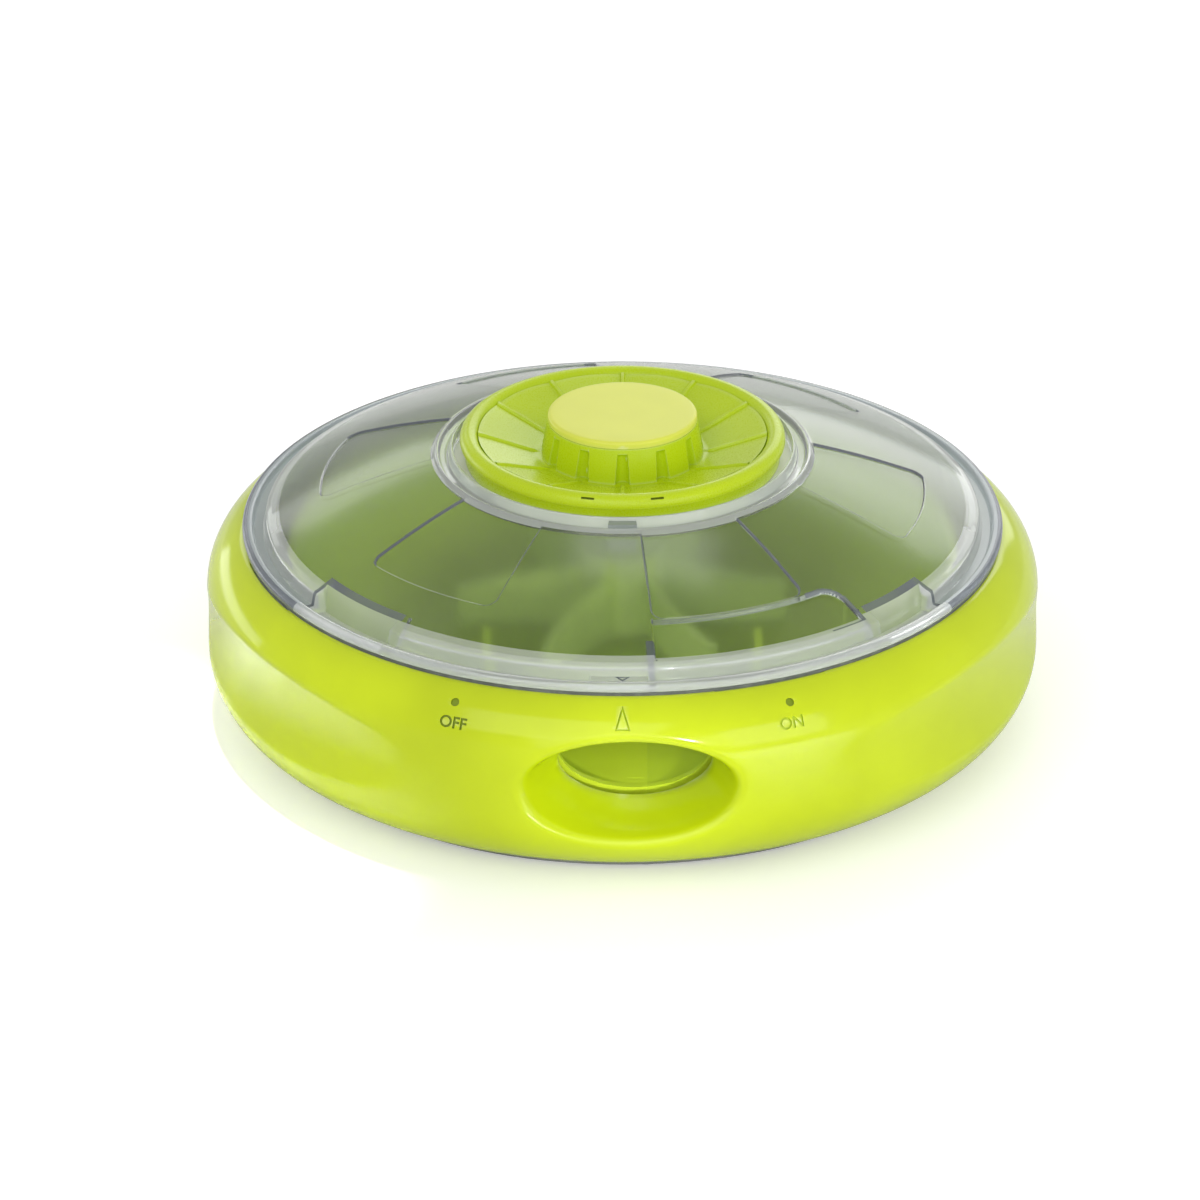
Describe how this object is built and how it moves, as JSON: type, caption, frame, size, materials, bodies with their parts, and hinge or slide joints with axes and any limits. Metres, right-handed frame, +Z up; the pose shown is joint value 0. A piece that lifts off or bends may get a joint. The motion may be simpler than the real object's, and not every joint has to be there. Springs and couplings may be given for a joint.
{
  "type": "treat dispenser",
  "caption": "Round pet treat dispenser: a scalloped body with a front outlet, a clear twist lid with an outlet shutter, and a knob dial that turns a rotor in the hopper.",
  "frame": {"origin": "on the floor under the middle of the round body", "axes": "+Z up along the dial's axis, the outlet faces -Y, +X to the right seen from the outlet"},
  "size_m": [0.22, 0.2177, 0.0857],
  "materials": {
    "lime_shell": "glossy moulded",
    "lime_bowl": "satin moulded",
    "lime_dial": "semi-gloss moulded",
    "lime_cap": "satin moulded",
    "lid_clear": "smoke-tinted clear plastic, frosted on the dome",
    "grey_cover": "fine texture",
    "foot_rubber": "matte",
    "seal_rubber": "matte",
    "slip_plastic": "smooth",
    "screw_steel": "zinc plated",
    "pin_steel": "ground"
  },
  "bodies": {
    "base": {"outer_shell": "lime_shell", "bottom_cover": "grey_cover", "foot_1": "foot_rubber", "foot_2": "foot_rubber", "foot_3": "foot_rubber", "foot_4": "foot_rubber", "foot_5": "foot_rubber", "foot_6": "foot_rubber", "cover_screws": "screw_steel", "bowl_screws": "screw_steel", "hopper_bowl": "lime_bowl", "pivot_pin": "pin_steel"},
    "lid_stage": {"lid_seal": "seal_rubber"},
    "lid": {"lid": "lid_clear", "slip_ring": "slip_plastic"},
    "dial": {"dial_dish": "lime_dial", "dial_retainer": "lime_bowl", "retainer_screws": "screw_steel", "knob": "lime_dial", "knob_cap": "lime_cap", "spindle": "slip_plastic", "spindle_screw": "screw_steel", "rotor": "lime_bowl", "rotor_bush": "slip_plastic"}
  },
  "joints": [
    {"name": "lid_lift", "type": "slide", "parent": "base", "child": "lid_stage", "axis": [0, 0, 1], "range_m": [0, 0.06]},
    {"name": "lid_turn", "type": "hinge", "parent": "lid_stage", "child": "lid", "pos_m": [0, 0, 0.0537], "axis": [0, 0, 1], "range_deg": [-25, 25]},
    {"name": "dial_turn", "type": "hinge", "parent": "lid", "child": "dial", "pos_m": [0, 0, 0.0745], "axis": [0, 0, 1], "continuous": true}
  ]
}
